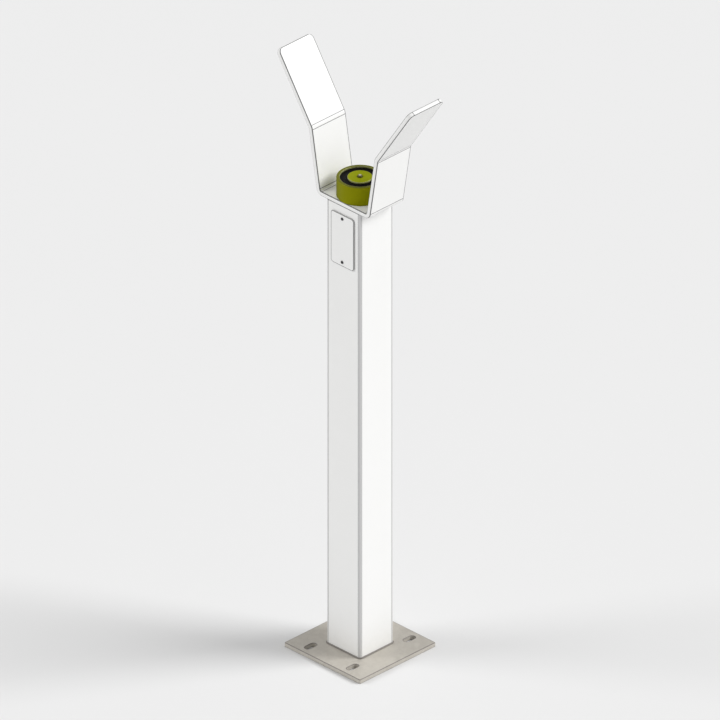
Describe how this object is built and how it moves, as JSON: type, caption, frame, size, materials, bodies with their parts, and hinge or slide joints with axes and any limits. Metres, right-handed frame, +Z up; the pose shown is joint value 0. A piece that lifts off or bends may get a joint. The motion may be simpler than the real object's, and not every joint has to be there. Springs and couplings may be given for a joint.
{
  "type": "barrier boom rest post",
  "caption": "Barrier boom rest post: square tube column on a slotted base plate, open fork that catches the boom tip, pot electromagnet in the fork, screwed access cover.",
  "frame": {"origin": "centre of the base plate's underside, on the ground", "axes": "+Z up along the column, X along the boom and the anchor slots, Y across the fork, access cover on the -X side"},
  "size_m": [0.18, 0.3218, 1.1137],
  "materials": {
    "galvanised_plate": "hot-dip galvanised, matt",
    "white_powder": "white powder coat, satin",
    "magnet_plating": "olive-yellow chromated steel, satin",
    "raw_steel": "mill finish",
    "zinc_fastener": "bright zinc",
    "dark_fastener": "black oxide",
    "copper_wire": "enamelled copper",
    "potting_resin": "black epoxy",
    "natural_nylon": "moulded",
    "black_rubber": "matt",
    "grey_sheath": "extruded",
    "core_insulation": "extruded",
    "brass_insert": "machined",
    "spring_steel": "drawn wire"
  },
  "bodies": {
    "post": {"base_plate": "galvanised_plate", "coil_bobbin": "natural_nylon", "coil_winding": "copper_wire", "column_tube": "white_powder", "ejector_spring": "spring_steel", "foot_weld": "galvanised_plate", "fork": "white_powder", "fork_screws": "zinc_fastener", "head_plate": "raw_steel", "head_weld": "raw_steel", "lead_clip": "zinc_fastener", "lead_clip_screw": "zinc_fastener", "lead_cores": "core_insulation", "lead_grommet": "black_rubber", "magnet_bolt": "zinc_fastener", "magnet_lead": "grey_sheath", "magnet_pot": "magnet_plating", "magnet_washers": "zinc_fastener", "pin_bush": "magnet_plating", "plate_nuts": "zinc_fastener", "plate_spacers": "zinc_fastener", "plate_studs": "raw_steel", "plate_washers": "zinc_fastener", "pole_core": "magnet_plating", "potting_ring": "potting_resin", "rivet_nuts": "zinc_fastener", "strip_screws": "zinc_fastener", "terminal_inserts": "brass_insert", "terminal_screws": "zinc_fastener", "terminal_strip": "natural_nylon", "wiring_plate": "zinc_fastener"},
    "pin": {"ejector_pin": "magnet_plating"},
    "cover": {"cover_plate": "white_powder", "cover_gasket": "black_rubber", "cover_screws": "dark_fastener"}
  },
  "joints": [
    {"name": "pin_press", "type": "slide", "parent": "post", "child": "pin", "axis": [0, 0, -1], "range_m": [0, 0.003], "stiffness_N_per_m": 1500, "springref_m": -0.002, "deforming": ["ejector_spring"]},
    {"name": "cover_off", "type": "slide", "parent": "post", "child": "cover", "axis": [-1, 0, 0], "range_m": [0, 0.12]}
  ]
}
